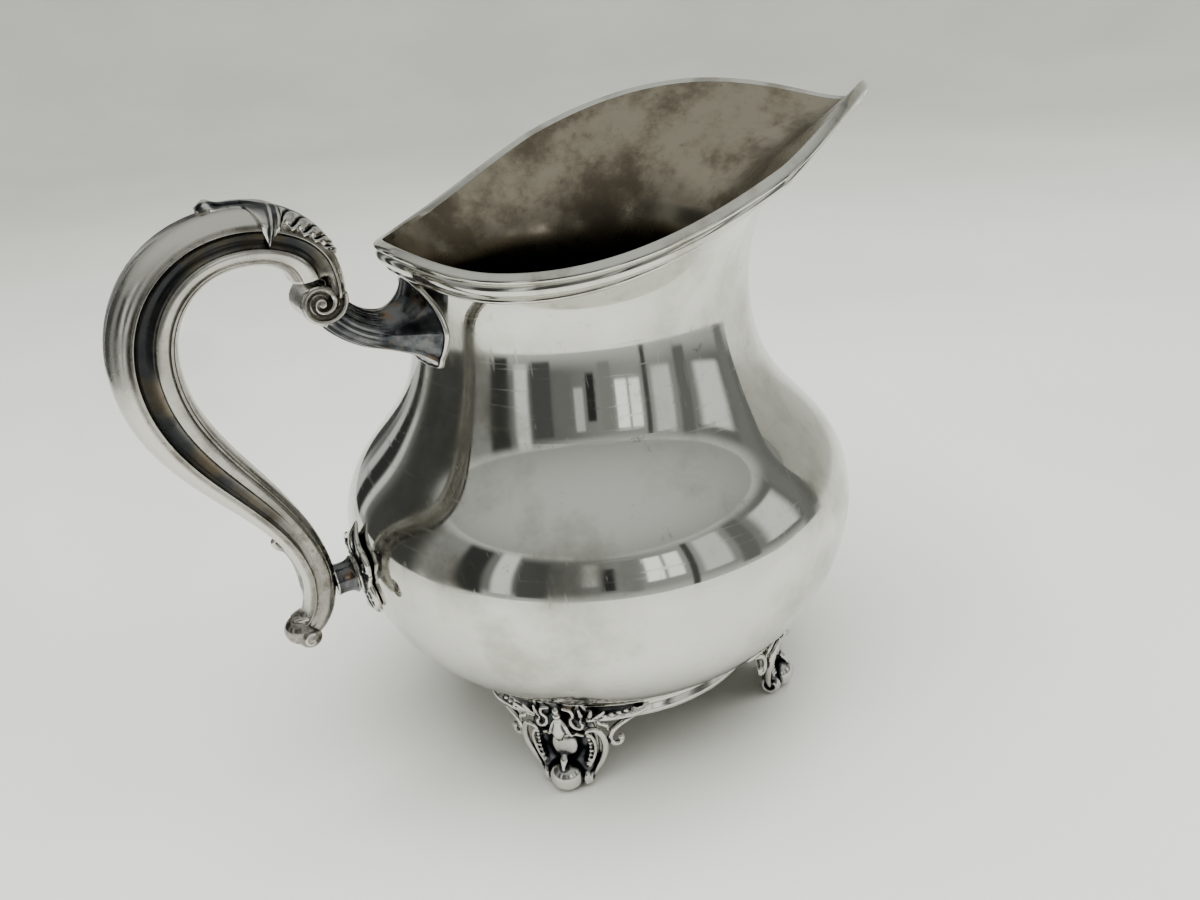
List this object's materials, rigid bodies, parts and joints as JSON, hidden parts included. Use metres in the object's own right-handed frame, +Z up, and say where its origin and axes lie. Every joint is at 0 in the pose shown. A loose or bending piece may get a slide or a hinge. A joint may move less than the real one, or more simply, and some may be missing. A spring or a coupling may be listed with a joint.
{
  "type": "footed water pitcher",
  "caption": "Silver-plated water pitcher with a round belly, waisted neck, swept pouring spout, scrolled hollow handle and cast scroll feet.",
  "frame": {"origin": "on the axis of the round body, in the plane of the table under the feet", "axes": "+Z up along the body's axis, +X towards the spout's tip, the handle on -X, +Y to the spout's left"},
  "size_m": [0.2402, 0.165, 0.196],
  "materials": {
    "polished_silver": "polished silver plate with fine scratches and a faint haze of tarnish",
    "cast_silver": "cast and plated silver, bright on the high places and blue-black in the recesses"
  },
  "bodies": {
    "root": {"bowl": "polished_silver", "neck_spout": "polished_silver", "rim_moulding": "polished_silver", "foot_ring": "polished_silver", "handle_half_left": "cast_silver", "handle_half_right": "cast_silver", "thumb_leaf": "cast_silver", "upper_bracket": "cast_silver", "lower_spigot": "cast_silver", "lower_escutcheon": "cast_silver", "foot_spout_left": "cast_silver", "foot_spout_right": "cast_silver", "foot_handle_left": "cast_silver", "foot_handle_right": "cast_silver"}
  },
  "joints": []
}
